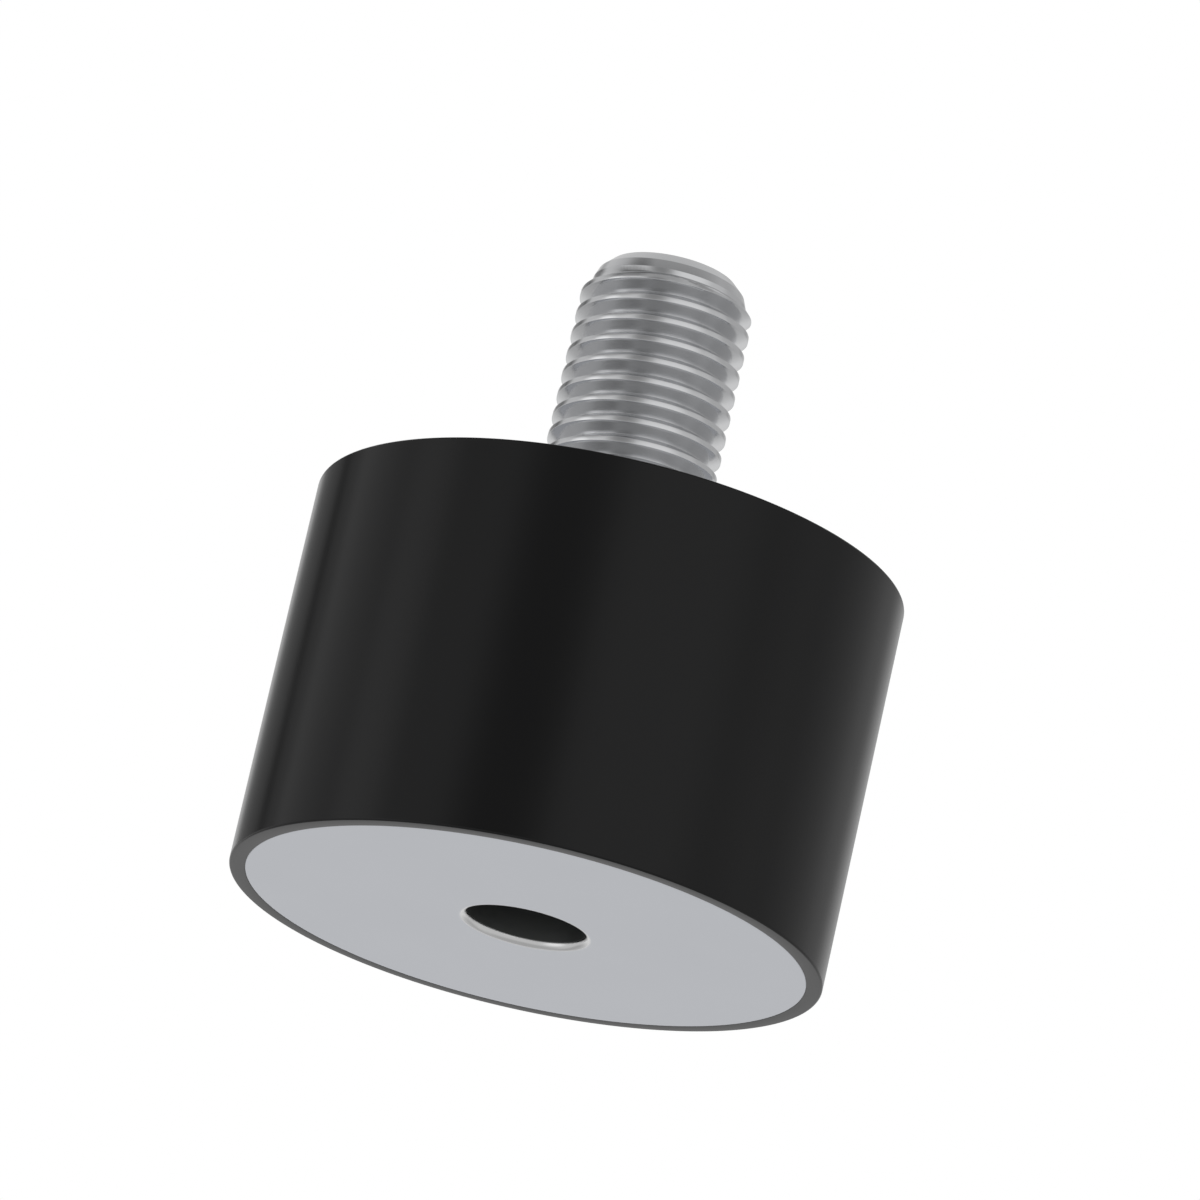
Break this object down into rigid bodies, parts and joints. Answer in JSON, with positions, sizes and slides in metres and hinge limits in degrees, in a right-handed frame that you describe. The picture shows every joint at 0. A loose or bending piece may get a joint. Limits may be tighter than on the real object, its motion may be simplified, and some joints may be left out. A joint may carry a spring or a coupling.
{
  "type": "sandwich mount",
  "caption": "Cylindrical rubber sandwich mount with steel end discs, a threaded stud on one end and a blind tapped hole in the other.",
  "frame": {"origin": "centre of the end face with the tapped hole, which the mount stands on", "axes": "+Z along the axis of the mount, out of the end with the stud; X and Y are any two directions across it"},
  "size_m": [0.034, 0.034, 0.0397],
  "materials": {
    "rubber": "smooth moulded black rubber with a soft sheen",
    "disc_steel": "matte blasted steel, light grey",
    "bush_steel": "dull turned steel",
    "stud_steel": "bright zinc-plated steel"
  },
  "bodies": {
    "root": {"rubber_body": "rubber", "hole_plate": "disc_steel", "tapped_bush": "bush_steel", "stud_plate": "disc_steel", "threaded_stud": "stud_steel"}
  },
  "joints": []
}
